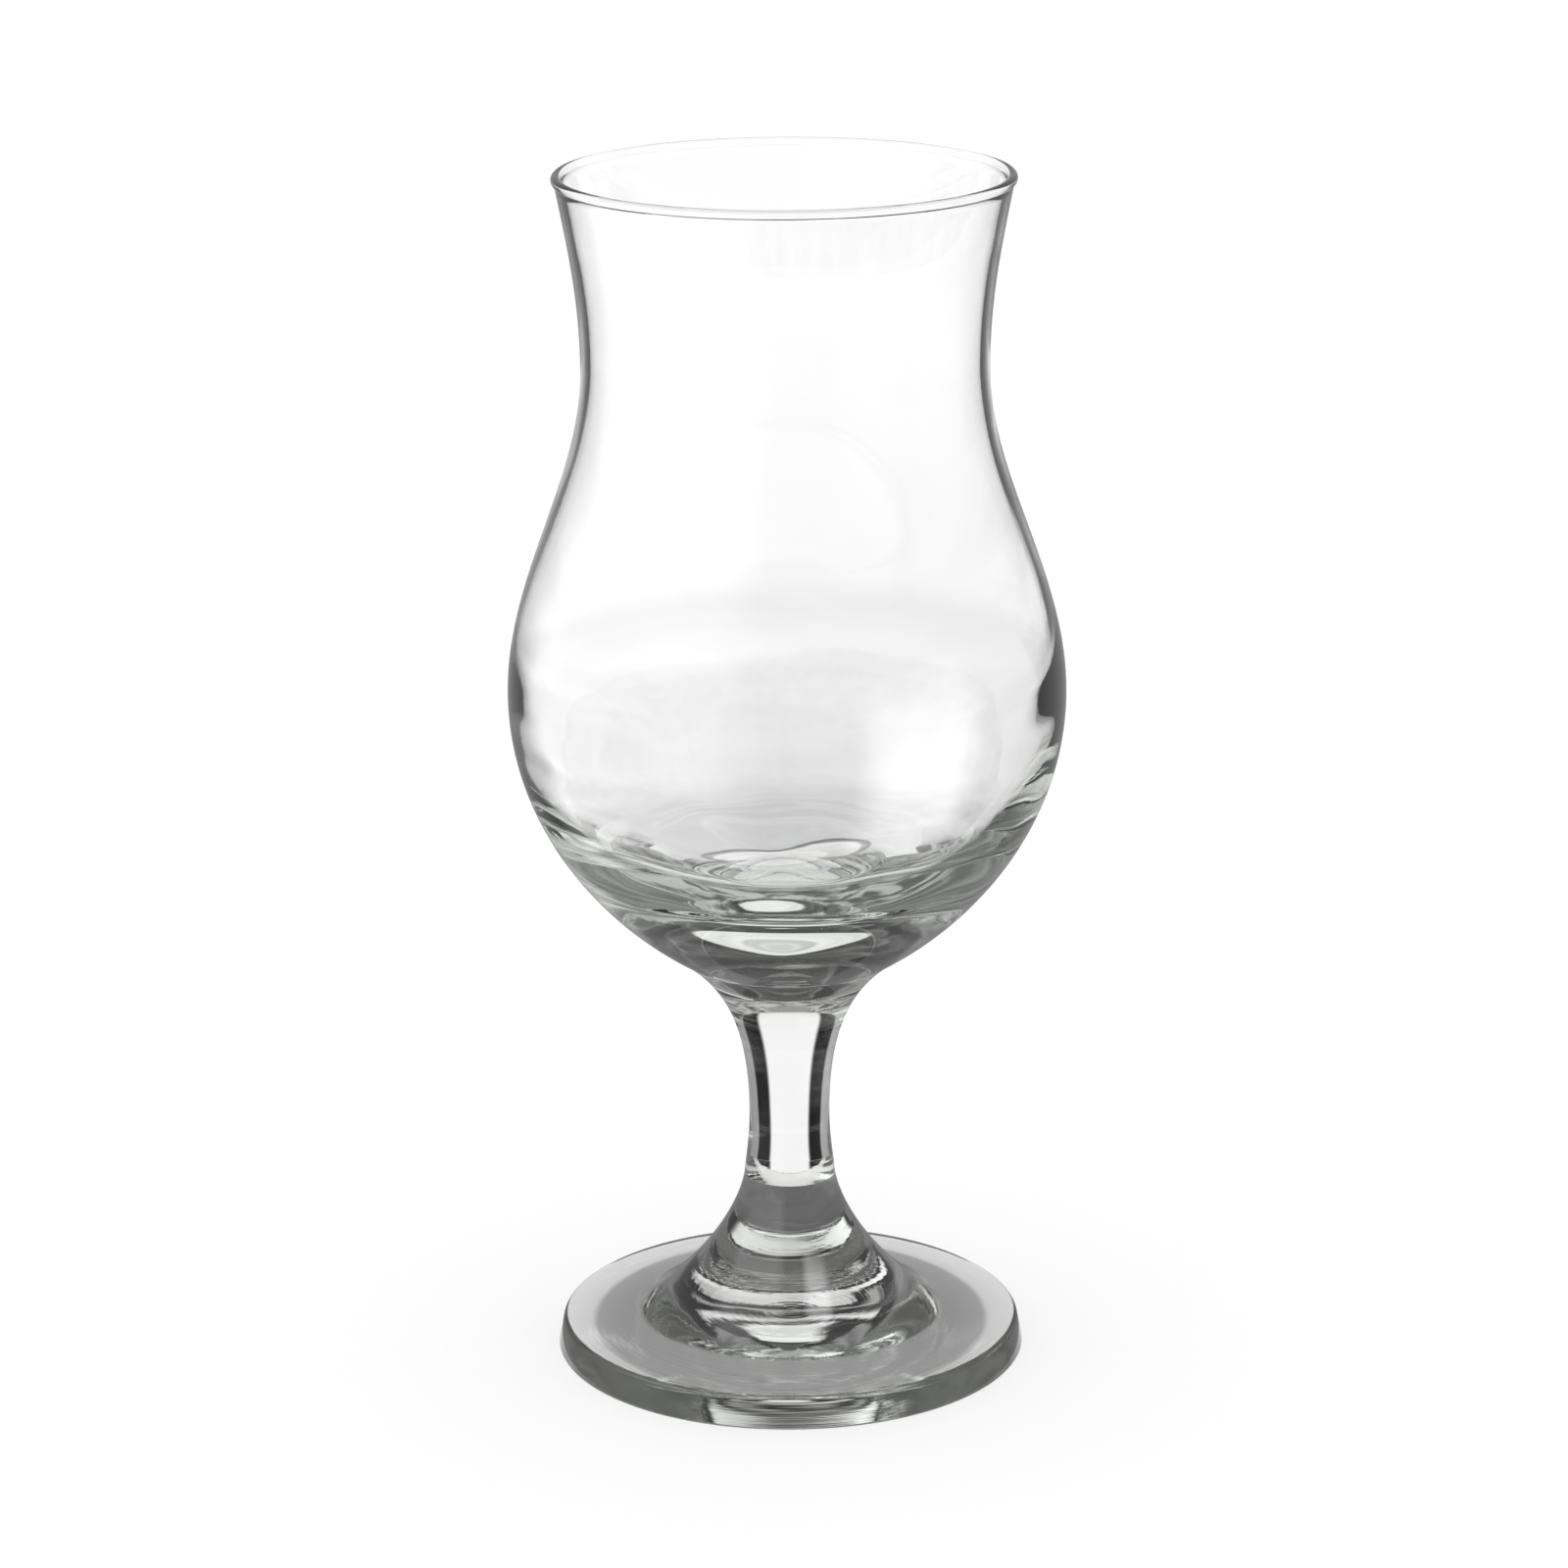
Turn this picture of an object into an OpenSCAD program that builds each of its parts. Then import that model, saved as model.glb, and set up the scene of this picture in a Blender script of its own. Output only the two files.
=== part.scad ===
// Hurricane glass: a blown bowl, a solid drawn stem and a pressed foot, welded hot.
// Millimetres, Z up. The origin is on the table, under the middle of the foot.

/* [Foot] */
// Diameter of the foot at the table
foot_d = 71.4; // [60:0.1:90]
// Height of the foot, from the table to its weld with the stem
foot_h = 27.4; // [20:0.1:40]
// Height of the foot's edge
foot_edge_h = 4.7; // [3:0.1:7]
// How far the foot's edge leans in on its way up
foot_edge_lean = 0.7; // [0:0.1:2]
// Radius of the rounded shoulder above the edge
foot_shoulder_r = 1.1; // [0.6:0.1:1.5]
// Radius of the rounded corner at the table
foot_toe_r = 0.35; // [0.2:0.05:0.8]
// Rise of the foot's top, from its shoulder to the flare
foot_crown = 1.2; // [0.2:0.1:4]
// Diameter at which the flare runs out into the top of the foot
flare_d = 48; // [36:0.5:54]
// Width of the flat ring that the glass stands on
stand_ring_w = 5.2; // [2:0.1:9]
// Rise of the shallow hollow under the foot
foot_hollow = 1.5; // [0.4:0.1:2.5]

/* [Stem] */
// Length of the stem, from the foot's weld to the bowl's weld
stem_h = 35.1; // [28:0.1:80]
// Diameter at the stem's narrowest place
stem_d = 12.2; // [8:0.1:12.6]
// Height of the narrowest place above the foot's weld
stem_waist_z = 9.3; // [5:0.1:14]
// Diameter of the weld between foot and stem
foot_weld_d = 13.8; // [12.8:0.1:18]
// Rise of the domed weld on top of the foot's neck
foot_weld_rise = 0.5; // [0.2:0.1:1.5]

/* [Bowl outside] */
// Height of the bowl, from the stem's weld to the top of the lip
bowl_h = 118.5; // [112:0.5:160]
// Diameter of the weld between stem and bowl
bowl_weld_d = 33; // [26:0.5:38]
// Rise of the domed weld on top of the stem's head
bowl_weld_rise = 1.2; // [0.4:0.1:2.5]
// Largest diameter of the bowl
belly_d = 83; // [78:0.5:110]
// Height of the largest diameter above the bowl's weld
belly_z = 41.1; // [38:0.1:46]
// Outer diameter at the bowl's waist
waist_d = 59.8; // [52:0.1:66]
// Height of the waist above the bowl's weld
waist_z = 90; // [84:0.1:96]
// Outer diameter over the lip's bead
lip_d = 67.5; // [62:0.1:80]
// Thickness of the lip's fire-polished bead
bead_d = 1.5; // [1.2:0.05:2.5]
// How far the bead leans out past the middle of the wall below it
lip_lean = 0.3; // [0:0.05:0.5]

/* [Bowl inside] */
// Wall thickness just below the bead
lip_wall = 1.1; // [0.8:0.05:1.2]
// Wall thickness at the waist
waist_wall = 1.5; // [1:0.05:3]
// How far the hollow's largest radius lies inside the bowl's largest radius
belly_wall = 1.9; // [1.5:0.05:3]
// Height of the hollow's largest radius above the bowl's weld
hollow_z = 45.6; // [43:0.1:50]
// Thickness of the solid base on the axis, above the weld's dome
base_t = 11.7; // [9:0.1:14]
// Diameter of the shallow pocket in the middle of the hollow's floor
pocket_d = 39; // [30:0.5:42]
// Depth of that pocket
pocket_depth = 2.6; // [0.5:0.1:3.5]

/* [Smoothness] */
// Straight steps in each long curve of an outline
curve_steps = 14; // [8:1:24]
// Straight steps in each small rounding
round_steps = 6; // [3:1:10]
// Sides of a full turn
turn_sides = 120; // [48:4:180]

/* [Hidden] */

// Heights on the axis
foot_weld_z = foot_h;
bowl_weld_z = foot_weld_z + stem_h;
lip_z = bowl_weld_z + bowl_h;
floor_z = bowl_weld_z + bowl_weld_rise + base_t;

// Places where the outlines turn, as [radius, height]
ring_in_p = [foot_d/2 - foot_toe_r - stand_ring_w, 0];
flare_p = [flare_d/2, foot_edge_h + foot_crown];
foot_weld_p = [foot_weld_d/2, foot_weld_z];
stem_waist_p = [stem_d/2, foot_weld_z + stem_waist_z];
bowl_weld_p = [bowl_weld_d/2, bowl_weld_z];
belly_p = [belly_d/2, bowl_weld_z + belly_z];
waist_p = [waist_d/2, bowl_weld_z + waist_z];
waist_in_p = [waist_p.x - waist_wall, waist_p.y];
hollow_p = [belly_d/2 - belly_wall, bowl_weld_z + hollow_z];
floor_p = [0, floor_z];
pocket_p = [pocket_d/2, floor_z + pocket_depth];

// Centres of the foot's two roundings, how far its edge tips back, and its crown's start
toe_c = [foot_d/2 - foot_toe_r, foot_toe_r];
shoulder_c = [foot_d/2 - foot_edge_lean - foot_shoulder_r, foot_edge_h - foot_shoulder_r];
edge_a = atan(foot_edge_lean/(foot_edge_h - foot_toe_r - foot_shoulder_r));
crown_a = 84;
crown_p = shoulder_c + foot_shoulder_r*[cos(crown_a), sin(crown_a)];

// Centre of the bead, the wall's two faces below it, and how far round the bead runs
bead_r = bead_d/2;
bead_c = [lip_d/2 - bead_r, lip_z - bead_r];
lip_out_p = [bead_c.x - lip_lean + lip_wall/2, lip_z - bead_d];
lip_in_p = [bead_c.x - lip_lean - lip_wall/2, lip_z - bead_d];
bead_out_a = -30;
bead_in_a = 180 - bead_out_a;

// The two handles of each curve, as [across, up] shares of the way between its ends
under_shares = [[0.35, 0], [0.7, 1]];
crown_shares = [[0.33, 0.3], [0.67, 0.62]];
flare_shares = [[0.26, 0.03], [0.91, 0.57]];
stem_low_shares = [[0.33, 0.31], [1, 0.63]];
stem_high_shares = [[0, 0.53], [0.3, 0.79]];
belly_shares = [[0.54, 0.2], [1, 0.556]];
shoulder_shares = [[0, 0.36], [1, 0.66]];
throat_shares = [[0, 0.39], [0.49, 0.67]];
throat_in_shares = [[0.51, 0.33], [1, 0.61]];
shoulder_in_shares = [[0, 0.35], [1, 0.74]];
hollow_shares = [[0, 0.49], [0.29, 1]];
pocket_shares = [[0.5, 0], [0.81, 1]];

// The place that lies a share of the way across and a share of the way up from a to b
function between(a, b, share) = [a.x + share.x*(b.x - a.x), a.y + share.y*(b.y - a.y)];

// A cubic curve from a towards b. It leaves b to the piece of outline that follows.
function curve(a, b, shares) = let(
    p = between(a, b, shares[0]),
    q = between(a, b, shares[1])
) [for (i = [0:curve_steps - 1]) let(
    t = i/curve_steps,
    u = 1 - t
) u*u*u*a + 3*u*u*t*p + 3*u*t*t*q + t*t*t*b];

// An arc about c, both ends included
function arc(c, r, from, to) =
    [for (i = [0:round_steps]) let(a = from + (to - from)*i/round_steps) c + r*[cos(a), sin(a)]];

// The dome over a weld, from the axis out to its edge, which it leaves out
function weld_dome(edge, rise) = let(
    r = (edge.x*edge.x + rise*rise)/(2*rise),
    half_a = asin(edge.x/r)
) [for (i = [0:round_steps - 1]) let(a = half_a*i/round_steps)
    [r*sin(a), edge.y + rise - r + r*cos(a)]];

function reversed(points) = [for (i = [len(points) - 1:-1:0]) points[i]];

// Both faces of a weld follow the same dome, so the pieces touch all over it
foot_weld_dome = weld_dome(foot_weld_p, foot_weld_rise);
bowl_weld_dome = weld_dome(bowl_weld_p, bowl_weld_rise);

module glass_turned(outline) {
    color("gainsboro", 0.5)
        rotate_extrude($fn = turn_sides)
            polygon(outline);
}

// The blown bowl: solid base, belly, waist and flared lip, with the hollow's own outline
module bowl() {
    glass_turned(concat(
        bowl_weld_dome,
        curve(bowl_weld_p, belly_p, belly_shares),
        curve(belly_p, waist_p, shoulder_shares),
        curve(waist_p, lip_out_p, throat_shares),
        [lip_out_p],
        arc(bead_c, bead_r, bead_out_a, bead_in_a),
        curve(lip_in_p, waist_in_p, throat_in_shares),
        curve(waist_in_p, hollow_p, shoulder_in_shares),
        curve(hollow_p, pocket_p, hollow_shares),
        curve(pocket_p, floor_p, pocket_shares),
        [floor_p]
    ));
}

// The solid stem: drawn thin at its waist, with a broad head under the bowl
module stem() {
    glass_turned(concat(
        foot_weld_dome,
        curve(foot_weld_p, stem_waist_p, stem_low_shares),
        curve(stem_waist_p, bowl_weld_p, stem_high_shares),
        [bowl_weld_p],
        reversed(bowl_weld_dome)
    ));
}

// The pressed foot: a neck that flares into a crowned disc, hollow underneath
module foot() {
    glass_turned(concat(
        curve([0, foot_hollow], ring_in_p, under_shares),
        [ring_in_p],
        arc(toe_c, foot_toe_r, -90, edge_a),
        arc(shoulder_c, foot_shoulder_r, edge_a, crown_a),
        curve(crown_p, flare_p, crown_shares),
        curve(flare_p, foot_weld_p, flare_shares),
        [foot_weld_p],
        reversed(foot_weld_dome)
    ));
}

bowl();
stem();
foot();
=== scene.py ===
"""A hurricane glass in clear glass: bowl, stem and foot, on a pale floor in soft studio light."""

import logging
import math
from dataclasses import dataclass, field
from enum import Enum
from itertools import pairwise

import bmesh
import bpy
from mathutils import Matrix, Vector, noise
from mathutils.geometry import interpolate_bezier


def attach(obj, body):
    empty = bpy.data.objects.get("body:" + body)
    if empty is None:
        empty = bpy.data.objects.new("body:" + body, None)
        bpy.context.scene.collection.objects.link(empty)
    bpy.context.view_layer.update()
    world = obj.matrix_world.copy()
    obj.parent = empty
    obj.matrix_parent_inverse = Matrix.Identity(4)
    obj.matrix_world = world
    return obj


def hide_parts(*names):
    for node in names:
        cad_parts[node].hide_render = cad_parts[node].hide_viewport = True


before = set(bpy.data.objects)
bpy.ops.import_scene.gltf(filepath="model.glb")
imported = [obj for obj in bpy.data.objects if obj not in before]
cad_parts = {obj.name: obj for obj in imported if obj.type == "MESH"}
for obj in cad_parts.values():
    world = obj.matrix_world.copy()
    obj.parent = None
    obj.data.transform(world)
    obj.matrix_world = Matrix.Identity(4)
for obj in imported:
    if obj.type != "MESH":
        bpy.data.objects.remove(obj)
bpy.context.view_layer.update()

LOG = logging.getLogger("hurricane_glass")
MM = 0.001
BODY = "root"
SAME_PLACE = 1e-7
WALL_FACES = 4
BOUNCES = {
    "max_bounces": 32,
    "transmission_bounces": 32,
    "glossy_bounces": 16,
    "transparent_max_bounces": 48,
}

Point = tuple[float, float]
Shares = tuple[Point, Point]
Scalar = bpy.types.NodeSocket | float


def eased(share: float) -> float:
    """A share held between 0 and 1, with soft ends."""
    held = max(0.0, min(1.0, share))
    return held * held * (3 - 2 * held)


def object_from(mesh: bmesh.types.BMesh, name: str,
                material: bpy.types.Material) -> bpy.types.Object:
    """Turns a mesh into an object, its faces in the order of their corners.

    Args:
        mesh: The mesh. It is freed.
        name: The object's name.
        material: Its material.

    Returns:
        The object, linked to the scene. Each run stores it alike.
    """
    mesh.verts.index_update()
    count = len(mesh.verts)

    def rank(face: bmesh.types.BMFace) -> float:
        """A face's place in the order, from its three lowest corners."""
        first, second, third = sorted(vert.index for vert in face.verts)[:3]
        return float((first * count + second) * count + third)

    mesh.faces.sort(key=rank)
    data = bpy.data.meshes.new(name)
    mesh.to_mesh(data)
    mesh.free()
    data.materials.append(material)
    made = bpy.data.objects.new(name, data)
    bpy.context.scene.collection.objects.link(made)
    return made


class Ray(Enum):
    """The kinds of ray that a studio surface answers to."""

    CAMERA = "Is Camera Ray"
    SHADOW = "Is Shadow Ray"
    DIFFUSE = "Is Diffuse Ray"
    GLOSSY = "Is Glossy Ray"
    TRANSMISSION = "Is Transmission Ray"


class Zone(Enum):
    """Where on a turned piece an outline point lies."""

    OUTSIDE = 0.0
    WELD = 1.0
    INSIDE = 2.0


class Bench:
    """Adds and joins the nodes of one material or world."""

    def __init__(self, tree: bpy.types.NodeTree) -> None:
        """Starts from an empty tree.

        Args:
            tree: The node tree that the bench works on.
        """
        self.tree = tree
        tree.nodes.clear()
        self.path = tree.nodes.new("ShaderNodeLightPath")

    def node(self, kind: str, **settings: object) -> bpy.types.Node:
        """Adds a node.

        Args:
            kind: The node's type, without its leading "ShaderNode".
            **settings: Properties of the node.

        Returns:
            The new node.
        """
        made = self.tree.nodes.new("ShaderNode" + kind)
        for name, value in settings.items():
            setattr(made, name, value)
        return made

    def feed(self, socket: bpy.types.NodeSocket, value: object) -> None:
        """Links a socket to another one, or sets its value.

        Args:
            socket: The input to fill.
            value: An output socket or a plain value.
        """
        if isinstance(value, bpy.types.NodeSocket):
            self.tree.links.new(value, socket)
        else:
            socket.default_value = value

    def maths(self, operation: str, *values: Scalar) -> bpy.types.NodeSocket:
        """Adds a Math node and returns its result.

        Args:
            operation: The node's operation.
            *values: Its inputs, in order.

        Returns:
            The node's output.
        """
        made = self.node("Math", operation=operation)
        for socket, value in zip(made.inputs, values):
            self.feed(socket, value)
        return made.outputs[0]

    def ramp(self, value: Scalar, start: float, end: float,
             low: float = 0.0, high: float = 1.0) -> bpy.types.NodeSocket:
        """Turns a value into a smooth step.

        Args:
            value: What is measured.
            start: Where the step begins.
            end: Where the step is complete.
            low: The result at the start.
            high: The result at the end.

        Returns:
            The step's output.
        """
        made = self.node("MapRange", interpolation_type="SMOOTHSTEP")
        for socket, amount in zip(made.inputs, (value, start, end, low, high)):
            self.feed(socket, amount)
        return made.outputs["Result"]

    def blend(self, share: Scalar, low: Scalar, high: Scalar) -> bpy.types.NodeSocket:
        """Mixes two numbers.

        Args:
            share: 0 gives low and 1 gives high.
            low: The first number.
            high: The second number.

        Returns:
            The mixed number.
        """
        made = self.node("Mix", data_type="FLOAT")
        for socket, value in zip(made.inputs, (share, (0.5, 0.5, 0.5), low, high)):
            self.feed(socket, value)
        return made.outputs[0]

    def mix(self, share: Scalar, first: bpy.types.NodeSocket,
            second: bpy.types.NodeSocket) -> bpy.types.NodeSocket:
        """Mixes two shaders.

        Args:
            share: 0 gives the first and 1 gives the second.
            first: A shader.
            second: A shader.

        Returns:
            The mixed shader.
        """
        made = self.node("MixShader")
        for socket, value in zip(made.inputs, (share, first, second)):
            self.feed(socket, value)
        return made.outputs[0]

    def ray(self, kind: Ray) -> bpy.types.NodeSocket:
        """The output that is 1 for one kind of ray."""
        return self.path.outputs[kind.value]

    def guided(self, times: int = 1) -> bpy.types.NodeSocket:
        """1 for a ray that glass has turned back at least so many times."""
        return self.maths("GREATER_THAN", self.path.outputs["Glossy Depth"], times - 0.5)

    def passed(self, times: int) -> bpy.types.NodeSocket:
        """1 for a ray that has passed through at least so many faces of the glass."""
        return self.maths("GREATER_THAN", self.path.outputs["Transmission Depth"], times - 0.5)

    def walled(self) -> bpy.types.NodeSocket:
        """1 for a ray that has passed through the bowl's two walls."""
        return self.passed(WALL_FACES)

    def in_glass(self) -> bpy.types.NodeSocket:
        """1 for a ray that a face of the glass has turned or let through."""
        return self.maths("MAXIMUM", self.ray(Ray.GLOSSY), self.ray(Ray.TRANSMISSION))

    def noise(self, place: bpy.types.NodeSocket, scale: float, detail: float = 2.0,
              dimensions: str = "3D") -> bpy.types.Node:
        """Adds soft noise.

        Args:
            place: Where the noise is read.
            scale: How fine it is.
            detail: How many layers it has.
            dimensions: "2D" or "3D".

        Returns:
            The noise node.
        """
        made = self.node("TexNoise", noise_dimensions=dimensions)
        self.feed(made.inputs["Vector"], place)
        self.feed(made.inputs["Scale"], scale)
        self.feed(made.inputs["Detail"], detail)
        return made

    def glow(self, strength: Scalar,
             colour: tuple[float, float, float] = (1.0, 1.0, 1.0)) -> bpy.types.NodeSocket:
        """Adds a glowing shader.

        Args:
            strength: How bright it is.
            colour: Its colour.

        Returns:
            The shader.
        """
        made = self.node("Emission")
        self.feed(made.inputs["Strength"], strength)
        self.feed(made.inputs["Color"], (*colour, 1.0))
        return made.outputs[0]

    def finish(self, kind: str, surface: bpy.types.NodeSocket,
               volume: bpy.types.NodeSocket | None = None) -> None:
        """Adds the tree's output.

        Args:
            kind: "Material" or "World".
            surface: The surface shader.
            volume: The volume shader, if there is one.
        """
        out = self.node("Output" + kind)
        self.feed(out.inputs["Surface"], surface)
        if volume is not None:
            self.feed(out.inputs["Volume"], volume)


def new_material(name: str) -> tuple[bpy.types.Material, Bench]:
    """Makes an empty node material.

    Args:
        name: The material's name.

    Returns:
        The material and the bench that fills it.
    """
    made = bpy.data.materials.new(name)
    made.use_nodes = True
    return made, Bench(made.node_tree)


@dataclass(frozen=True)
class ClearGlass:
    """Clear soda-lime glass: a faint grey-green in the thick, with fine turning lines. To shadow
    and diffuse rays it is a grey see-through stand-in, a painted shadow whose see-through level
    is shade_near within shade_radius of the axis and shade_far beyond.
    """

    name: str
    ior: float = 1.52
    roughness: tuple[float, float] = (0.008, 0.02)
    body_colour: tuple[float, float, float] = (0.66, 0.72, 0.63)
    body_density: float = 7.0
    # painted shadow: how much light shadow and diffuse rays get through the glass within
    # shade_radius of the axis and beyond it
    shade_near: float = 0.45
    shade_far: float = 0.97
    shade_radius: tuple[float, float] = (29.0 * MM, 30.5 * MM)
    line_scale: float = 900.0
    line_height: float = 0.0015 * MM
    line_range: tuple[float, float] = (0.3, 0.7)

    def material(self) -> bpy.types.Material:
        """Makes the glass.

        Returns:
            The finished material.
        """
        made, bench = new_material(self.name)
        place = bench.node("TexCoord").outputs["Object"]
        split = bench.node("SeparateXYZ")
        bench.feed(split.inputs[0], place)
        x, y, z = split.outputs
        radius = bench.maths("SQRT", bench.maths("ADD", bench.maths("MULTIPLY", x, x),
                                                 bench.maths("MULTIPLY", y, y)))

        across = bench.node("CombineXYZ")
        bench.feed(across.inputs[0], radius)
        bench.feed(across.inputs[1], z)
        lines = bench.noise(across.outputs[0], self.line_scale, dimensions="2D").outputs[0]
        bump = bench.node("Bump")
        bench.feed(bump.inputs["Height"], lines)
        bench.feed(bump.inputs["Distance"], self.line_height)

        glass = bench.node("BsdfPrincipled")
        for key, value in {
            "Base Color": (1.0, 1.0, 1.0, 1.0),
            "Transmission Weight": 1.0,
            "IOR": self.ior,
            "Roughness": bench.ramp(lines, *self.line_range, *self.roughness),
            "Normal": bump.outputs[0],
        }.items():
            bench.feed(glass.inputs[key], value)

        weld = bench.node("Attribute", attribute_name="weld").outputs["Fac"]
        clear = bench.node("BsdfTransparent").outputs[0]
        solid = bench.mix(weld, glass.outputs[0], clear)

        # painted shadow: shadow and diffuse rays pass the glass as a grey see-through stand-in,
        # its level set by distance from the axis; the welds let all light through
        shadow_tint = bench.ramp(radius, *self.shade_radius, self.shade_near, self.shade_far)
        shadow_tint = bench.blend(weld, shadow_tint, 1.0)
        colour = bench.node("CombineColor")
        for socket in colour.inputs:
            bench.feed(socket, shadow_tint)
        shade = bench.node("BsdfTransparent")
        bench.feed(shade.inputs[0], colour.outputs[0])
        lit = bench.mix(bench.ray(Ray.DIFFUSE), solid, shade.outputs[0])
        surface = bench.mix(bench.ray(Ray.SHADOW), lit, shade.outputs[0])

        body = bench.node("VolumeAbsorption")
        bench.feed(body.inputs["Color"], (*self.body_colour, 1.0))
        bench.feed(body.inputs["Density"], self.body_density)
        bench.finish("Material", surface, body.outputs[0])
        return made


@dataclass
class Outline:
    """Half of a turned piece's section, as points from the axis round and back to it."""

    points: list[Vector] = field(default_factory=list)
    zones: list[Zone] = field(default_factory=list)
    zone: Zone = Zone.OUTSIDE

    def add(self, *places: Point) -> None:
        """Adds places, but none twice in a row, so that no face is left without width.

        Args:
            *places: The places in order, in millimetres across and up.
        """
        for across, up in places:
            point = Vector((across, 0.0, up)) * MM
            if not self.points or (point - self.points[-1]).length > SAME_PLACE:
                self.points.append(point)
                self.zones.append(self.zone)

    def curve(self, start: Point, end: Point, shares: Shares, steps: int) -> None:
        """Adds a cubic curve, all but its last point.

        Args:
            start: Where it starts.
            end: Where it ends.
            shares: Its two handles, as shares of the way across and up.
            steps: How many straight steps it has.
        """
        handles = [(start[0] + share[0] * (end[0] - start[0]),
                    start[1] + share[1] * (end[1] - start[1])) for share in shares]
        path = interpolate_bezier(start, *handles, end, steps + 1)
        self.add(*[tuple(place) for place in path[:-1]])

    def arc(self, centre: Point, radius: float, first: float, last: float, steps: int) -> None:
        """Adds an arc, both its ends included.

        Args:
            centre: The arc's centre.
            radius: Its radius.
            first: The angle it starts at, in degrees.
            last: The angle it ends at, in degrees.
            steps: How many straight steps it has.
        """
        for i in range(steps + 1):
            turn = math.radians(first + (last - first) * i / steps)
            self.add((centre[0] + radius * math.cos(turn), centre[1] + radius * math.sin(turn)))

    def dome(self, edge: Point, rise: float, drop: float, steps: int, inwards: bool) -> None:
        """Adds the domed face of a weld.

        Args:
            edge: The place on the weld's rim.
            rise: How far the dome stands above its rim.
            drop: How far this face is lowered to leave a hair's breadth for its neighbour.
            steps: How many straight steps it has.
            inwards: True to run from the rim to the axis, False the other way.
        """
        ball = (edge[0] ** 2 + rise ** 2) / (2 * rise)
        half = math.asin(edge[0] / ball)
        places = [(ball * math.sin(half * i / steps),
                   edge[1] + rise - drop - ball + ball * math.cos(half * i / steps))
                  for i in range(steps + 1)]
        was, self.zone = self.zone, Zone.WELD
        self.add(*(reversed(places) if inwards else places))
        self.zone = was


@dataclass(frozen=True)
class Wave:
    """One layer of soft unevenness, in millimetres."""

    depth: float
    across: float
    up: float
    low: float
    high: float
    seed: float
    fade: float = 6.0

    def share(self, up: float) -> float:
        """How much of the wave there is at a height."""
        return eased(min(up - self.low, self.high - up) / self.fade)

    def level(self, place: Vector) -> float:
        """The wave's level at a place, from 0 to -1, so that it never stands proud."""
        scaled = Vector((place.x / self.across, place.y / self.across,
                         place.z / self.up + self.seed))
        return -0.5 - 0.5 * noise.noise(scaled)


@dataclass
class TurnedGlass:
    """What the three pieces share: a section spun round the axis, then dressed."""

    turn_steps: int = 272
    curve_steps: int = 34
    round_steps: int = 12
    weld_steps: int = 10
    weld_gap: float = 0.02
    sharp_angle: float = math.radians(32)

    def spin(self, outline: Outline) -> bmesh.types.BMesh:
        """Spins a section into a closed mesh with its faces outwards.

        Args:
            outline: The section.

        Returns:
            The mesh, with a "zone" value on its vertices.
        """
        mesh = bmesh.new()
        zone = mesh.verts.layers.float.new("zone")
        line = [mesh.verts.new(point) for point in outline.points]
        for vert, where in zip(line, outline.zones):
            vert[zone] = where.value
        steps = [mesh.edges.new(pair) for pair in pairwise(line)]
        bmesh.ops.spin(mesh, geom=line + steps, cent=(0, 0, 0), axis=(0, 0, 1),
                       angle=math.tau / 4, steps=self.turn_steps // 4)
        for side in "XY":
            bmesh.ops.mirror(mesh, geom=mesh.verts[:] + mesh.edges[:] + mesh.faces[:],
                             axis=side, merge_dist=SAME_PLACE)
        poles = [vert for vert in mesh.verts if vert.co.xy.length < SAME_PLACE]
        bmesh.ops.remove_doubles(mesh, verts=poles, dist=SAME_PLACE)
        bmesh.ops.recalc_face_normals(mesh, faces=mesh.faces)
        mesh.normal_update()
        return mesh

    def wave(self, mesh: bmesh.types.BMesh, zone: Zone, wave: Wave) -> None:
        """Gives one face of the glass the soft unevenness of a piece made hot.

        Args:
            mesh: The piece's mesh.
            zone: The face that is uneven.
            wave: How uneven, and where.
        """
        layer = mesh.verts.layers.float["zone"]
        for vert in mesh.verts:
            if vert[layer] != zone.value:
                continue
            up = vert.co.z / MM
            share = wave.share(up)
            if share > 0.0:
                vert.co += vert.normal * (share * wave.depth * MM * wave.level(vert.co / MM))

    def dress(self, mesh: bmesh.types.BMesh, name: str, node: str,
              finish: ClearGlass) -> bpy.types.Object:
        """Marks the welds and creases and turns the mesh into a finished piece.

        Args:
            mesh: The piece's mesh. It is freed.
            name: The piece's name.
            node: The CAD node that it stands for.
            finish: Its glass.

        Returns:
            The piece, riding on its body.
        """
        zone = mesh.verts.layers.float["zone"]
        weld = mesh.faces.layers.float.new("weld")
        for face in mesh.faces:
            face.smooth = True
            face[weld] = float(all(vert[zone] == Zone.WELD.value for vert in face.verts))
        for edge in mesh.edges:
            sides = {face[weld] for face in edge.link_faces}
            edge.smooth = len(sides) == 1 and edge.calc_face_angle(0.0) < self.sharp_angle
        piece = object_from(mesh, name, finish.material())
        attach(piece, BODY)
        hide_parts(node)
        LOG.info("%s: %d faces, stands for %s", name, len(piece.data.polygons), node)
        return piece


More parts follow.
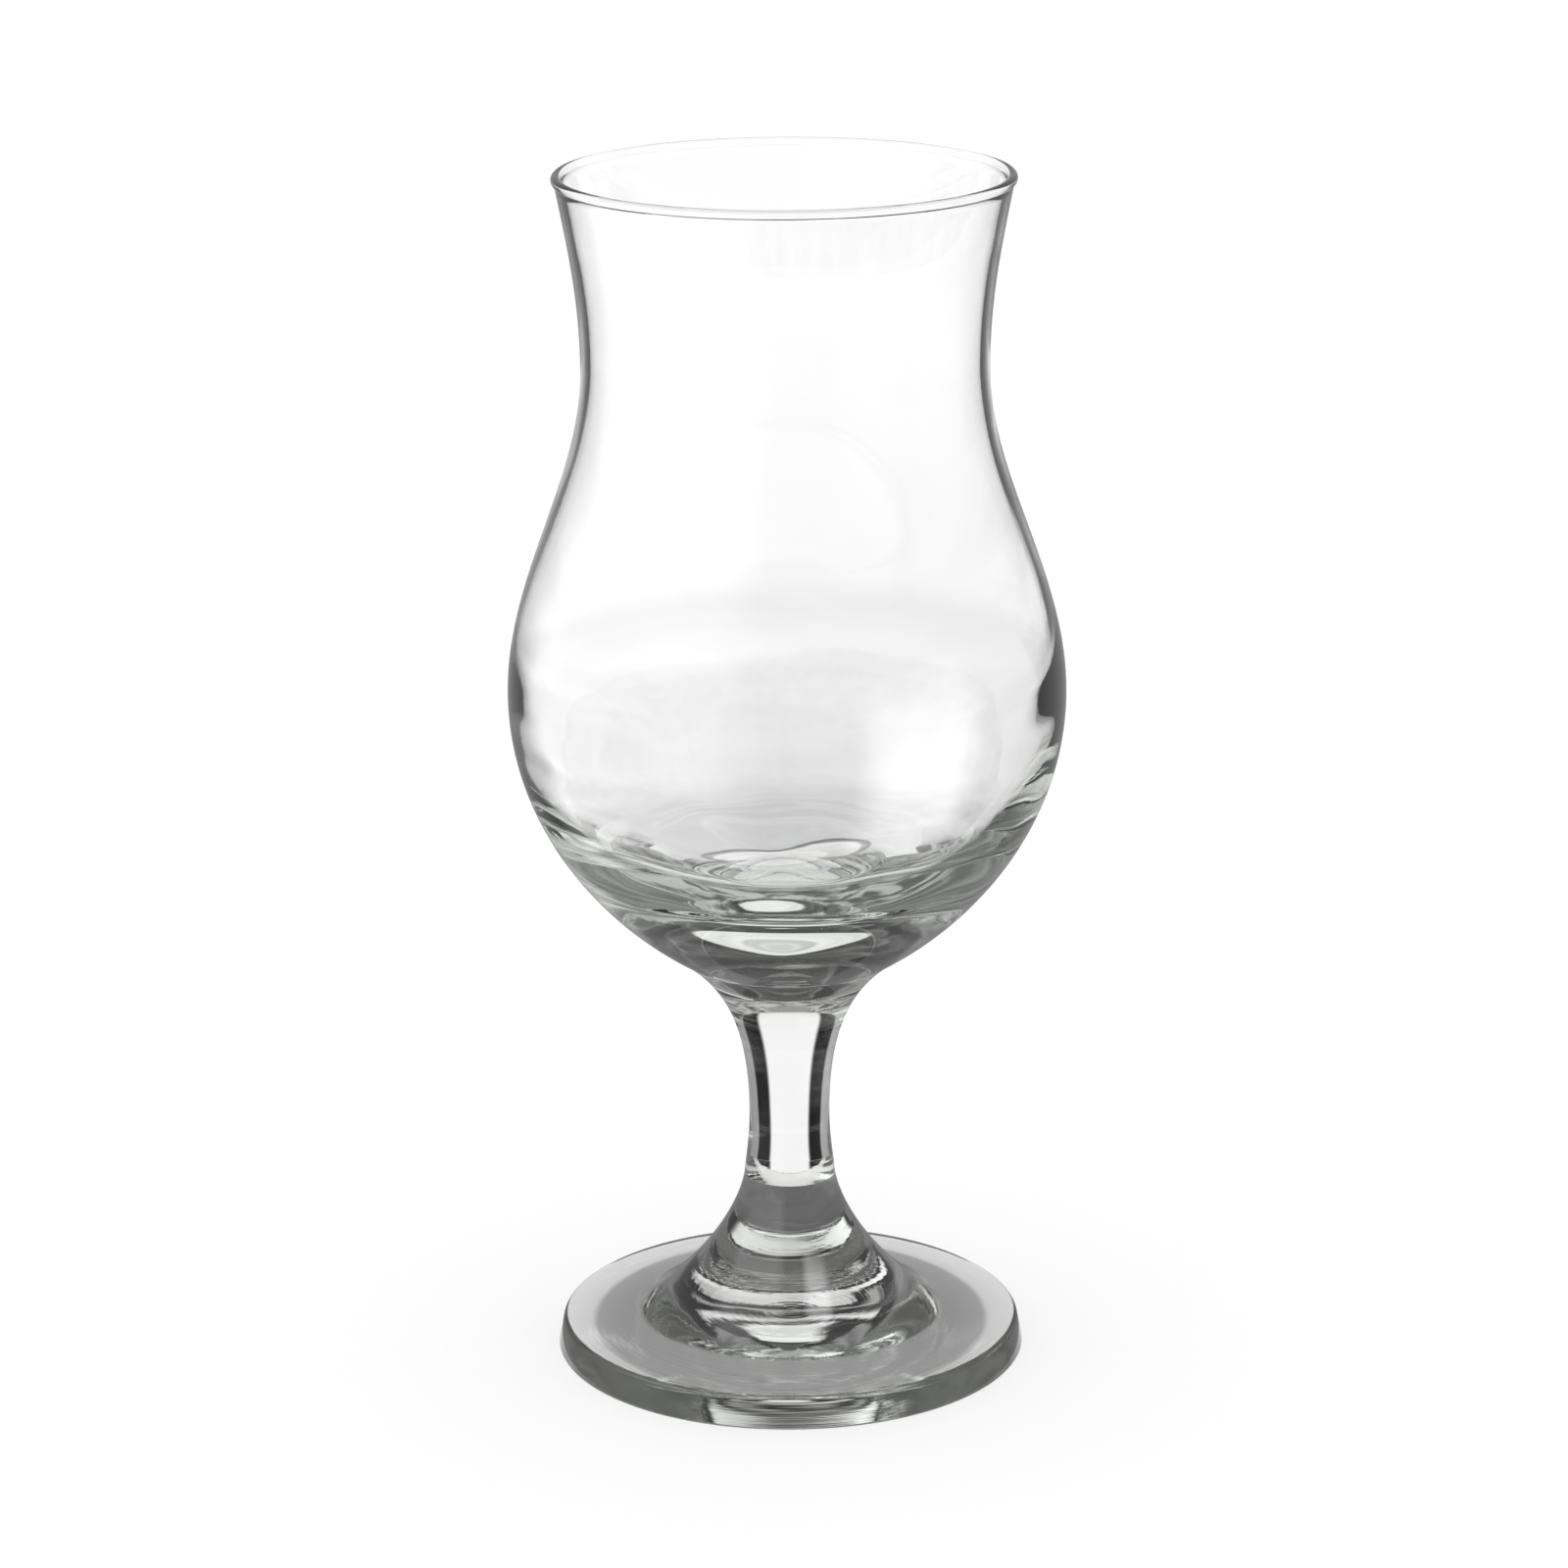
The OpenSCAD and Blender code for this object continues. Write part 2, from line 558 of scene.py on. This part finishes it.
@dataclass
class Foot(TurnedGlass):
    """The pressed foot: a neck that flares into a crowned disc, hollow underneath."""

    width: float = 71.4
    height: float = 27.4
    edge_height: float = 4.7
    edge_lean: float = 0.7
    shoulder_radius: float = 1.1
    toe_radius: float = 0.35
    crown_rise: float = 1.2
    flare_width: float = 48.0
    ring_width: float = 5.2
    hollow_rise: float = 1.5
    neck_width: float = 13.8
    neck_dome: float = 0.5
    toe_turn: float = -90.0
    crown_turn: float = 84.0
    under_shares: Shares = ((0.35, 0.0), (0.7, 1.0))
    ring_shares: Shares = ((0.3, 0.0), (0.7, 0.0))
    crown_shares: Shares = ((0.33, 0.3), (0.67, 0.62))
    flare_shares: Shares = ((0.26, 0.03), (0.91, 0.57))
    under_wave: Wave = Wave(0.3, 7.0, 7.0, 0.2, 20.0, 5.3, 0.6)

    def outline(self) -> Outline:
        """The foot's section."""
        made = Outline(zone=Zone.INSIDE)
        ring = (self.width / 2 - self.toe_radius - self.ring_width, 0.0)
        toe = (self.width / 2 - self.toe_radius, self.toe_radius)
        shoulder = (self.width / 2 - self.edge_lean - self.shoulder_radius,
                    self.edge_height - self.shoulder_radius)
        lean = math.degrees(math.atan(
            self.edge_lean / (self.edge_height - self.toe_radius - self.shoulder_radius)))
        turn = math.radians(self.crown_turn)
        crown = (shoulder[0] + self.shoulder_radius * math.cos(turn),
                 shoulder[1] + self.shoulder_radius * math.sin(turn))
        flare = (self.flare_width / 2, self.edge_height + self.crown_rise)
        neck = (self.neck_width / 2, self.height)
        made.curve((0.0, self.hollow_rise), ring, self.under_shares, self.curve_steps)
        made.zone = Zone.OUTSIDE
        made.curve(ring, (toe[0], 0.0), self.ring_shares, self.weld_steps)
        made.arc(toe, self.toe_radius, self.toe_turn, lean, self.round_steps)
        made.arc(shoulder, self.shoulder_radius, lean, self.crown_turn, self.round_steps)
        made.curve(crown, flare, self.crown_shares, self.curve_steps)
        made.curve(flare, neck, self.flare_shares, self.curve_steps * 2)
        made.dome(neck, self.neck_dome, self.weld_gap, self.weld_steps, inwards=True)
        return made

    def build(self, finish: ClearGlass) -> bpy.types.Object:
        """Builds the foot.

        Args:
            finish: Its glass.

        Returns:
            The piece.
        """
        mesh = self.spin(self.outline())
        self.wave(mesh, Zone.INSIDE, self.under_wave)
        return self.dress(mesh, "foot_glass", "foot", finish)


@dataclass
class Stem(TurnedGlass):
    """The solid stem: drawn thin at its waist, with a broad head under the bowl."""

    low: float = 27.4
    length: float = 35.1
    waist_width: float = 12.2
    waist_height: float = 9.3
    neck_width: float = 13.8
    neck_dome: float = 0.5
    head_width: float = 33.0
    head_dome: float = 1.2
    low_shares: Shares = ((0.33, 0.31), (1.0, 0.63))
    high_shares: Shares = ((0.0, 0.53), (0.3, 0.79))

    def outline(self) -> Outline:
        """The stem's section."""
        made = Outline()
        neck = (self.neck_width / 2, self.low)
        waist = (self.waist_width / 2, self.low + self.waist_height)
        head = (self.head_width / 2, self.low + self.length)
        made.dome(neck, self.neck_dome, 0.0, self.weld_steps, inwards=False)
        made.curve(neck, waist, self.low_shares, self.curve_steps)
        made.curve(waist, head, self.high_shares, self.curve_steps * 2)
        made.dome(head, self.head_dome, self.weld_gap, self.weld_steps, inwards=True)
        return made

    def build(self, finish: ClearGlass) -> bpy.types.Object:
        """Builds the stem.

        Args:
            finish: Its glass.

        Returns:
            The piece.
        """
        return self.dress(self.spin(self.outline()), "stem_glass", "stem", finish)


@dataclass
class Bowl(TurnedGlass):
    """The blown bowl: solid base, belly, waist and flared lip, with its hollow."""

    low: float = 62.5
    height: float = 118.5
    weld_width: float = 33.0
    weld_dome: float = 1.2
    belly_width: float = 83.0
    belly_height: float = 41.1
    waist_width: float = 59.8
    waist_height: float = 90.0
    lip_width: float = 67.5
    bead: float = 1.5
    lip_lean: float = 0.3
    lip_wall: float = 1.1
    waist_wall: float = 1.5
    belly_wall: float = 1.9
    hollow_height: float = 45.6
    base: float = 11.7
    pocket_width: float = 39.0
    pocket_depth: float = 2.6
    hollow_shift: float = -0.7
    shift_top: float = 150.0
    shift_fade: float = 60.0
    bead_out_turns: tuple[float, float] = (-30.0, 90.0)
    bead_in_turns: tuple[float, float] = (100.0, 210.0)
    belly_shares: Shares = ((0.54, 0.2), (1.0, 0.556))
    shoulder_shares: Shares = ((0.0, 0.36), (1.0, 0.66))
    throat_shares: Shares = ((0.0, 0.39), (0.49, 0.67))
    throat_in_shares: Shares = ((0.51, 0.33), (1.0, 0.61))
    shoulder_in_shares: Shares = ((0.0, 0.35), (1.0, 0.74))
    hollow_shares: Shares = ((0.0, 0.49), (0.29, 1.0))
    pocket_shares: Shares = ((0.5, 0.0), (0.81, 1.0))
    inside_waves: tuple[Wave, ...] = (
        Wave(0.35, 11.0, 7.0, 70.0, 104.0, 3.1),
        Wave(0.06, 14.0, 30.0, 90.0, 176.0, 8.7),
    )

    def outline(self) -> Outline:
        """The bowl's section."""
        made = Outline()
        steps = self.curve_steps
        top = self.low + self.height
        weld = (self.weld_width / 2, self.low)
        belly = (self.belly_width / 2, self.low + self.belly_height)
        waist = (self.waist_width / 2, self.low + self.waist_height)
        bead = (self.lip_width / 2 - self.bead / 2, top - self.bead / 2)
        lip_out = (bead[0] - self.lip_lean + self.lip_wall / 2, top - self.bead)
        lip_in = (bead[0] - self.lip_lean - self.lip_wall / 2, top - self.bead)
        waist_in = (waist[0] - self.waist_wall, waist[1])
        hollow = (belly[0] - self.belly_wall, self.low + self.hollow_height)
        floor = (0.0, self.low + self.weld_dome + self.base)
        pocket = (self.pocket_width / 2, floor[1] + self.pocket_depth)
        made.dome(weld, self.weld_dome, 0.0, self.weld_steps, inwards=False)
        made.curve(weld, belly, self.belly_shares, steps * 2)
        made.curve(belly, waist, self.shoulder_shares, steps)
        made.curve(waist, lip_out, self.throat_shares, steps)
        made.add(lip_out)
        made.arc(bead, self.bead / 2, *self.bead_out_turns, self.round_steps)
        made.zone = Zone.INSIDE
        made.arc(bead, self.bead / 2, *self.bead_in_turns, self.round_steps)
        made.curve(lip_in, waist_in, self.throat_in_shares, steps)
        made.curve(waist_in, hollow, self.shoulder_in_shares, steps)
        made.curve(hollow, pocket, self.hollow_shares, steps * 2)
        made.curve(pocket, floor, self.pocket_shares, steps)
        made.add(floor)
        return made

    def build(self, finish: ClearGlass) -> bpy.types.Object:
        """Builds the bowl.

        Args:
            finish: Its glass.

        Returns:
            The piece.
        """
        mesh = self.spin(self.outline())
        self.set_hollow_aside(mesh)
        for wave in self.inside_waves:
            self.wave(mesh, Zone.INSIDE, wave)
        return self.dress(mesh, "bowl_glass", "bowl", finish)

    def set_hollow_aside(self, mesh: bmesh.types.BMesh) -> None:
        """Shifts the hollow's lower part sideways, as a blown hollow never sits dead centre.

        Args:
            mesh: The bowl's mesh.
        """
        zone = mesh.verts.layers.float["zone"]
        for vert in mesh.verts:
            if vert[zone] == Zone.INSIDE.value:
                share = eased((self.shift_top - vert.co.z / MM) / self.shift_fade)
                vert.co.x += self.hollow_shift * MM * share


@dataclass(frozen=True)
class Panel:
    """One soft-edged panel of light or dark, seen only in the glass."""

    turn: float
    half_width: float
    low: float
    high: float
    strength: float
    soft_turn: float = 2.0
    soft_height: float = 8.0


def painted(bench: Bench, turn: Scalar, height: Scalar, base: float,
            panels: tuple[Panel, ...]) -> bpy.types.NodeSocket:
    """Paints panels over one another on a wall or the sky.

    Args:
        bench: Where the nodes go.
        turn: The angle round the axis in degrees, 0 behind the glass.
        height: The height, in the panels' own unit.
        base: The strength where there is no panel.
        panels: The panels, the last on top.

    Returns:
        The strength.
    """
    strength: Scalar = base
    for panel in panels:
        away = bench.maths("ABSOLUTE", bench.maths(
            "WRAP", bench.maths("SUBTRACT", turn, panel.turn), 180.0, -180.0))
        mask = bench.ramp(away, panel.half_width + panel.soft_turn,
                          panel.half_width - panel.soft_turn)
        rising = bench.ramp(height, panel.low - panel.soft_height, panel.low + panel.soft_height)
        falling = bench.ramp(height, panel.high + panel.soft_height,
                             panel.high - panel.soft_height)
        mask = bench.maths("MULTIPLY", mask, bench.maths("MULTIPLY", rising, falling))
        strength = bench.blend(mask, strength, panel.strength)
    return strength


def turn_and_height(bench: Bench, place: bpy.types.NodeSocket
                    ) -> tuple[bpy.types.NodeSocket, bpy.types.NodeSocket]:
    """Splits a place into its angle round the axis and its height.

    Args:
        bench: Where the nodes go.
        place: The place or direction.

    Returns:
        The angle in degrees, 0 towards +Y and 90 towards +X, and the height as given.
    """
    split = bench.node("SeparateXYZ")
    bench.feed(split.inputs[0], place)
    turn = bench.maths("MULTIPLY", bench.maths("ARCTAN2", split.outputs[0], split.outputs[1]),
                       math.degrees(1.0))
    return turn, split.outputs[2]


@dataclass
class Studio:
    """The pale floor, the light, a ring of glowing panels that paints reflections into the glass,
    and the camera.
    """

    floor_radius: float = 8.0
    floor_sides: int = 96
    floor_colour: float = 0.9
    floor_glow: float = 0.14
    floor_drop: float = 0.05 * MM
    # painted shade on the floor, seen only through the bowl: its dark colour, where it starts,
    # its fading layers (share, start, end) and a darker ring
    bowl_shade_colour: tuple[float, float, float] = (0.17, 0.16, 0.19)
    bowl_shade_rise: tuple[float, float] = (0.062, 0.074)
    bowl_shade_layers: tuple[tuple[float, float, float], ...] = (
        (0.17, 0.10, 0.20),
        (0.12, 0.34, 0.48),
        (0.06, 0.40, 0.75),
    )
    rim_shade: float = 0.6
    rim_ring: tuple[float, float, float, float] = (0.063, 0.067, 0.074, 0.078)
    # painted light: the floor under the foot, seen through the bowl's two walls, glows evenly at
    # this level out to under_edge from the axis
    under_glow: float = 0.95
    under_edge: tuple[float, float] = (0.050, 0.045)
    sky_level: float = 1.0
    tent_radius: float = 0.058
    tent_height: float = 0.185
    tent_open: tuple[float, float] = (0.105, 0.115)
    tent_inner: float = 0.0372
    tent_rise: float = 0.2 * MM
    tent_sides: int = 128
    camera_place: tuple[float, float, float] = (-0.000536, -0.70328, 0.2945)
    camera_tilt: float = 73.712
    camera_roll: float = -0.339
    lens: float = 112.5
    sensor_width: float = 36.0
    clip: tuple[float, float] = (0.05, 50.0)
    lamp_place: tuple[float, float, float] = (-0.3, -0.2, 1.6)
    lamp_size: float = 1.2
    lamp_power: float = 0.5
    # painted reflections: the ring's glowing panels as seen straight through the solid glass,
    # light and dark bands round the axis
    through_base: float = 0.35
    through_panels: tuple[Panel, ...] = (
        Panel(0, 18.7, -50, 700, 1.0),
        Panel(28.5, 9.5, -50, 700, 0.0),
        Panel(-28.5, 9.5, -50, 700, 0.0),
        Panel(-58, 18, -50, 700, 0.45),
        Panel(90, 20.6, -50, 700, 1.0),
        Panel(-90, 20.6, -50, 700, 1.0),
        Panel(-135, 25, -50, 700, 1.0),
        Panel(135, 38, -50, 700, 0.0),
        Panel(135, 18.7, -50, 700, 1.0),
    )
    # painted reflections and glints: the ring's panels as seen by rays turned back inside thick
    # glass, swayed and streaked
    guided_base: float = 0.28
    guided_panels: tuple[Panel, ...] = (
        Panel(0, 400, -50, 46, 0.17, 2, 4),
        Panel(0, 400, 112, 700, 0.4, 2, 6),
        Panel(0, 45, 112, 700, 1.0, 6, 6),
        Panel(180, 62, 95, 700, 1.0, 12, 45),
        Panel(11, 4, 40, 112, 0.04, 1.2, 4),
        Panel(-11, 4, 40, 112, 0.04, 1.2, 4),
        Panel(0, 7.5, 46, 700, 1.0, 1.2, 3),
        Panel(0, 8, 70, 180, 0.1, 1.2, 1.5),
        Panel(0, 28, 6, 46, 0.03, 2, 2),
        Panel(0, 30, -50, 5, 0.11, 3, 1.5),
        Panel(0, 20, 7.5, 9.5, 0.5, 3, 0.7),
        Panel(0, 20, 14, 21, 1.0, 3, 1),
        Panel(0, 16, 25, 28, 0.4, 2, 1.5),
        Panel(0, 18, 35, 41, 0.8, 2, 2),
        Panel(-72, 17, 52, 104, 0.14, 4, 6),
        Panel(74, 21, 58, 130, 0.9, 4, 6),
        Panel(60, 7, 104, 700, 0.0, 3, 5),
        Panel(-60, 7, 104, 700, 0.0, 3, 5),
        Panel(125, 42, 45, 700, 0.9, 12, 12),
        Panel(-125, 42, 20, 700, 1.2, 12, 12),
        Panel(135, 28, 6, 46, 0.03, 3, 2),
        Panel(135, 20, 14, 21, 1.0, 3, 1),
        Panel(135, 16, 36, 42, 0.8, 3, 2),
    )
    guided_warp: tuple[float, float, float] = (45.0, 10.0, 8.0)
    streak_scale: tuple[float, float, float] = (22.0, 22.0, 110.0)
    streak_range: tuple[float, float] = (0.36, 0.64)
    streak_levels: tuple[float, float] = (0.55, 1.15)
    # painted shade: the even dark grey of the floor near the foot for rays turned back in thick
    # glass, and how far out it reaches
    bounced_shade: float = 0.13
    bounced_edge: tuple[float, float] = (0.037, 0.036)
    # painted highlights: the ring's panels as mirrored off the glass's outer face, a broad bright
    # panel at the front left and a small very bright one at the front right
    mirrored_base: float = 0.3
    mirrored_panels: tuple[Panel, ...] = (
        Panel(0, 400, 90, 700, 0.5, 2, 60),
        Panel(-130, 36, 40, 700, 1.9, 10, 40),
        Panel(143, 15, 62, 112, 5.5, 7, 14),
    )
    # painted reflections in the sky, seen only by rays from the glass: panels, an overhead cap,
    # the mirrored level and streaks
    sky_base: float = 0.35
    sky_panels: tuple[Panel, ...] = (
        Panel(0, 75, -0.3, 0.8, 1.05, 6, 0.1),
        Panel(-125, 42, -0.3, 0.8, 1.2, 8, 0.1),
    )
    sky_cap: tuple[float, float, float] = (0.3, 0.45, 0.05)
    sky_streak_scale: float = 7.0
    sky_streak_range: tuple[float, float] = (0.4, 0.6)
    sky_streak_levels: tuple[float, float] = (0.12, 0.62)
    sky_mirrored: float = 0.5

    def build(self) -> None:
        """Builds the floor, the ring of painted reflections, the sky and the camera."""
        self.add_floor()
        self.add_tent()
        self.add_sky()
        self.add_lamp()
        self.add_camera()

    def add_floor(self) -> None:
        """Adds the white floor, which keeps the glass's shadow. Seen in the glass it also carries
        painted light and shade: a glow under the foot and darker rings further out through the
        bowl, and dark grey near the foot for rays turned back in thick glass.
        """
        made, bench = new_material("floor_white")
        paper = bench.node("BsdfDiffuse")
        bench.feed(paper.inputs["Color"], (self.floor_colour,) * 3 + (1.0,))
        both = bench.node("AddShader")
        bench.feed(both.inputs[0], paper.outputs[0])
        bench.feed(both.inputs[1], bench.glow(bench.maths(
            "MULTIPLY", bench.maths("MAXIMUM", bench.ray(Ray.CAMERA), bench.in_glass()),
            self.floor_glow)))
        length = bench.node("VectorMath", operation="LENGTH")
        bench.feed(length.inputs[0], bench.node("TexCoord").outputs["Object"])
        far = length.outputs["Value"]
        walled = bench.maths("MULTIPLY", bench.walled(), bench.ray(Ray.TRANSMISSION))
        # painted light: seen through the bowl's two walls, the floor near the axis glows evenly
        # in place of its shadow under the foot
        painted_light_under_foot = bench.maths("MULTIPLY", walled, bench.ramp(far, *self.under_edge))
        surface = bench.mix(painted_light_under_foot, both.outputs[0], bench.glow(self.under_glow))
        # painted shade: seen through the bowl's two walls, the floor darkens towards a dark
        # lavender glow, most in a ring some 70 mm from the axis
        shade_share = bench.maths("MULTIPLY", self.bowl_shade(bench, far), walled)
        surface = bench.mix(shade_share, surface, bench.glow(1.0, self.bowl_shade_colour))
        # painted shade: rays turned back in thick glass see the floor near the foot as an even
        # dark grey glow
        surface = bench.mix(self.bounced(bench, far), surface, bench.glow(self.bounced_shade))
        bench.finish("Material", surface)
        mesh = bmesh.new()
        bmesh.ops.create_circle(mesh, cap_ends=True, segments=self.floor_sides,
                                radius=self.floor_radius,
                                matrix=Matrix.Translation((0, 0, -self.floor_drop)))
        self.stage_piece("floor", mesh, made)

    def bowl_shade(self, bench: Bench, far: bpy.types.NodeSocket) -> bpy.types.NodeSocket:
        """Finds how much painted shade lies over the floor, seen through the bowl: darkest in a
        ring some 70 mm from the axis, then fading out to about 0.75 m.

        Args:
            bench: Where the nodes go.
            far: The distance from the axis.

        Returns:
            The painted shade's share.
        """
        layers: Scalar = 0.0
        for share, near, end in self.bowl_shade_layers:
            layers = bench.maths("ADD", layers, bench.ramp(far, near, end, share, 0.0))
        shade_share = bench.maths("MULTIPLY", layers, bench.ramp(far, *self.bowl_shade_rise))
        # painted shade: a darker ring on the floor some 70 mm from the axis
        ring = self.rim_ring
        rim = bench.maths("MULTIPLY", bench.ramp(far, ring[0], ring[1]),
                          bench.ramp(far, ring[2], ring[3], self.rim_shade, 0.0))
        return bench.maths("ADD", shade_share, rim)

    def bounced(self, bench: Bench, far: bpy.types.NodeSocket) -> bpy.types.NodeSocket:
        """Picks the rays that thick glass has turned back down to the floor, where the floor
        shows a painted dark grey shade.

        Args:
            bench: Where the nodes go.
            far: The distance from the axis.

        Returns:
            1 for such a ray.
        """
        under = bench.maths("MULTIPLY", bench.guided(), bench.ramp(far, *self.bounced_edge))
        turned = bench.maths("MULTIPLY", bench.maths("MAXIMUM", under, bench.guided(2)),
                             bench.ray(Ray.TRANSMISSION))
        return bench.maths("MULTIPLY", turned, bench.maths("SUBTRACT", 1.0, bench.walled()))

    def add_tent(self) -> None:
        """Adds a ring of glowing panels that only the solid glass shows: painted reflections,
        dark bands and glints, in one pattern for rays straight through the glass, one for rays
        turned back inside it and one for rays mirrored off its outer face.
        """
        made, bench = new_material("painted_reflection_ring")
        place = bench.node("TexCoord").outputs["Object"]
        turn, height = turn_and_height(bench, place)
        height = bench.maths("DIVIDE", height, MM)
        through = painted(bench, turn, height, self.through_base, self.through_panels)
        mirrored = painted(bench, turn, height, self.mirrored_base, self.mirrored_panels)
        guided = self.guided_glow(bench, place, turn, height)
        guided = bench.blend(bench.passed(1), mirrored, guided)
        # painted reflections: the ring glows only for rays that the solid glass turns or lets
        # through, in the pattern for their path
        ring_glow = bench.glow(bench.blend(bench.guided(), through, guided))
        clear = bench.node("BsdfTransparent").outputs[0]
        low = bench.ramp(height, *(edge / MM for edge in self.tent_open), 1.0, 0.0)
        seen = bench.maths("MULTIPLY", bench.in_glass(),
                           bench.maths("MAXIMUM", low, bench.guided()))
        thick = bench.maths("SUBTRACT", 1.0, bench.walled())
        bench.finish("Material", bench.mix(bench.maths("MULTIPLY", seen, thick), clear, ring_glow))
        mesh = bmesh.new()
        ring = bmesh.ops.create_circle(
            mesh, segments=self.tent_sides, radius=self.tent_inner,
            matrix=Matrix.Translation((0, 0, self.tent_rise)))["verts"]
        rim = list(dict.fromkeys(edge for vert in ring for edge in vert.link_edges))
        for radius, rise in ((self.tent_radius, 0.0), (self.tent_radius, self.tent_height)):
            grown = bmesh.ops.extrude_edge_only(mesh, edges=rim)["geom"]
            verts = [item for item in grown if isinstance(item, bmesh.types.BMVert)]
            rim = [item for item in grown if isinstance(item, bmesh.types.BMEdge)]
            for vert in verts:
                vert.co.xy = vert.co.xy.normalized() * radius
                vert.co.z += rise
        tent = self.stage_piece("painted_reflection_ring", mesh, made)
        tent.visible_camera = False
        tent.visible_diffuse = False
        tent.visible_shadow = False

    def guided_glow(self, bench: Bench, place: bpy.types.NodeSocket,
                     turn: bpy.types.NodeSocket,
                     height: bpy.types.NodeSocket) -> bpy.types.NodeSocket:
        """Paints the glowing panels that rays turned back in thick glass see: painted reflections
        and glints, swayed and streaked.

        Args:
            bench: Where the nodes go.
            place: The place on the ring.
            turn: Its angle round the axis, in degrees.
            height: Its height, in millimetres.

        Returns:
            The panels' glow strength.
        """
        scale, turn_warp, height_warp = self.guided_warp
        sway = bench.node("SeparateXYZ")
        bench.feed(sway.inputs[0], bench.noise(place, scale, 1.0).outputs["Color"])
        swayed_turn, swayed_height = (
            bench.maths("MULTIPLY_ADD", bench.maths("SUBTRACT", part, 0.5), 2 * amount, plain)
            for part, amount, plain in ((sway.outputs[0], turn_warp, turn),
                                        (sway.outputs[1], height_warp, height)))
        flattened = bench.node("VectorMath", operation="MULTIPLY")
        bench.feed(flattened.inputs[0], place)
        bench.feed(flattened.inputs[1], self.streak_scale)
        grain = bench.noise(flattened.outputs[0], 1.0).outputs[0]
        streaks = bench.ramp(grain, *self.streak_range, *self.streak_levels)
        return bench.maths("MULTIPLY", streaks, painted(
            bench, swayed_turn, swayed_height, self.guided_base, self.guided_panels))

    def stage_piece(self, name: str, mesh: bmesh.types.BMesh,
                    material: bpy.types.Material) -> bpy.types.Object:
        """Adds a mesh that isn't part of the glass.

        Args:
            name: Its name.
            mesh: Its mesh. It is freed.
            material: Its material.

        Returns:
            The object.
        """
        made = object_from(mesh, name, material)
        return made

    def add_sky(self) -> None:
        """Adds the even light on the floor, and the painted reflections that only the glass
        shows: bright panels, a dark cap overhead for rays not turned back, an even level mirrored
        off the outer face, plain white through the bowl's walls and streaks where such rays were
        also turned back.
        """
        world = bpy.data.worlds.new("studio")
        bpy.context.scene.world = world
        world.use_nodes = True
        bench = Bench(world.node_tree)
        place = bench.node("TexCoord").outputs["Generated"]
        turn, height = turn_and_height(bench, place)
        # painted reflections: these panels, the cap, the mirrored level and the streaks reach
        # only rays from the glass; the floor's light stays even
        panels = painted(bench, turn, height, self.sky_base, self.sky_panels)
        start, end, level = self.sky_cap
        direct = bench.maths("MULTIPLY", panels, bench.ramp(height, start, end, 1.0, level))
        panels = bench.blend(bench.guided(), direct, panels)
        mirrored = bench.maths("MULTIPLY", bench.guided(), bench.maths(
            "SUBTRACT", 1.0, bench.passed(1)))
        panels = bench.blend(mirrored, panels, self.sky_mirrored)
        grain = bench.noise(place, self.sky_streak_scale).outputs[0]
        streaks = bench.ramp(grain, *self.sky_streak_range, *self.sky_streak_levels)
        far_side = bench.blend(bench.guided(), 1.0, streaks)
        panels = bench.blend(bench.walled(), panels, far_side)
        strength = bench.blend(bench.in_glass(), self.sky_level, panels)
        strength = bench.blend(bench.ray(Ray.CAMERA), strength, 1.0)
        sky = bench.node("Background")
        bench.feed(sky.inputs["Color"], (1.0, 1.0, 1.0, 1.0))
        bench.feed(sky.inputs["Strength"], strength)
        bench.finish("World", sky.outputs[0])

    def add_lamp(self) -> None:
        """Adds the soft lamp over the glass."""
        data = bpy.data.lights.new("overhead_softbox", "AREA")
        data.shape = "DISK"
        data.size = self.lamp_size
        data.energy = self.lamp_power
        lamp = bpy.data.objects.new("overhead_softbox", data)
        lamp.location = self.lamp_place
        lamp.rotation_euler = (-Vector(self.lamp_place)).to_track_quat("-Z", "Y").to_euler()
        lamp.visible_glossy = False
        lamp.visible_transmission = False
        lamp.visible_camera = False
        bpy.context.scene.collection.objects.link(lamp)

    def add_camera(self) -> None:
        """Adds the camera, where the photograph was taken from."""
        data = bpy.data.cameras.new("photo_camera")
        data.sensor_width = self.sensor_width
        data.lens = self.lens
        data.clip_start, data.clip_end = self.clip
        camera = bpy.data.objects.new("photo_camera", data)
        camera.matrix_world = (
            Matrix.Translation(self.camera_place)
            @ Matrix.Rotation(math.radians(self.camera_tilt), 4, "X")
            @ Matrix.Rotation(math.radians(self.camera_roll), 4, "Z"))
        bpy.context.scene.collection.objects.link(camera)
        bpy.context.scene.camera = camera


def main() -> None:
    """Builds the glass and its studio."""
    logging.basicConfig(level=logging.INFO, format="%(name)s: %(message)s")
    scene = bpy.context.scene
    scene.view_settings.view_transform = "Standard"
    for name, count in BOUNCES.items():
        setattr(scene.cycles, name, count)
    Studio().build()
    Foot().build(ClearGlass("foot_clear_glass", line_scale=1500.0, line_height=0.009 * MM))
    Stem().build(ClearGlass("stem_clear_glass", shade_far=0.6))
    Bowl().build(ClearGlass("bowl_clear_glass", shade_near=0.8, shade_far=0.8))


if __name__ == "__main__":
    main()
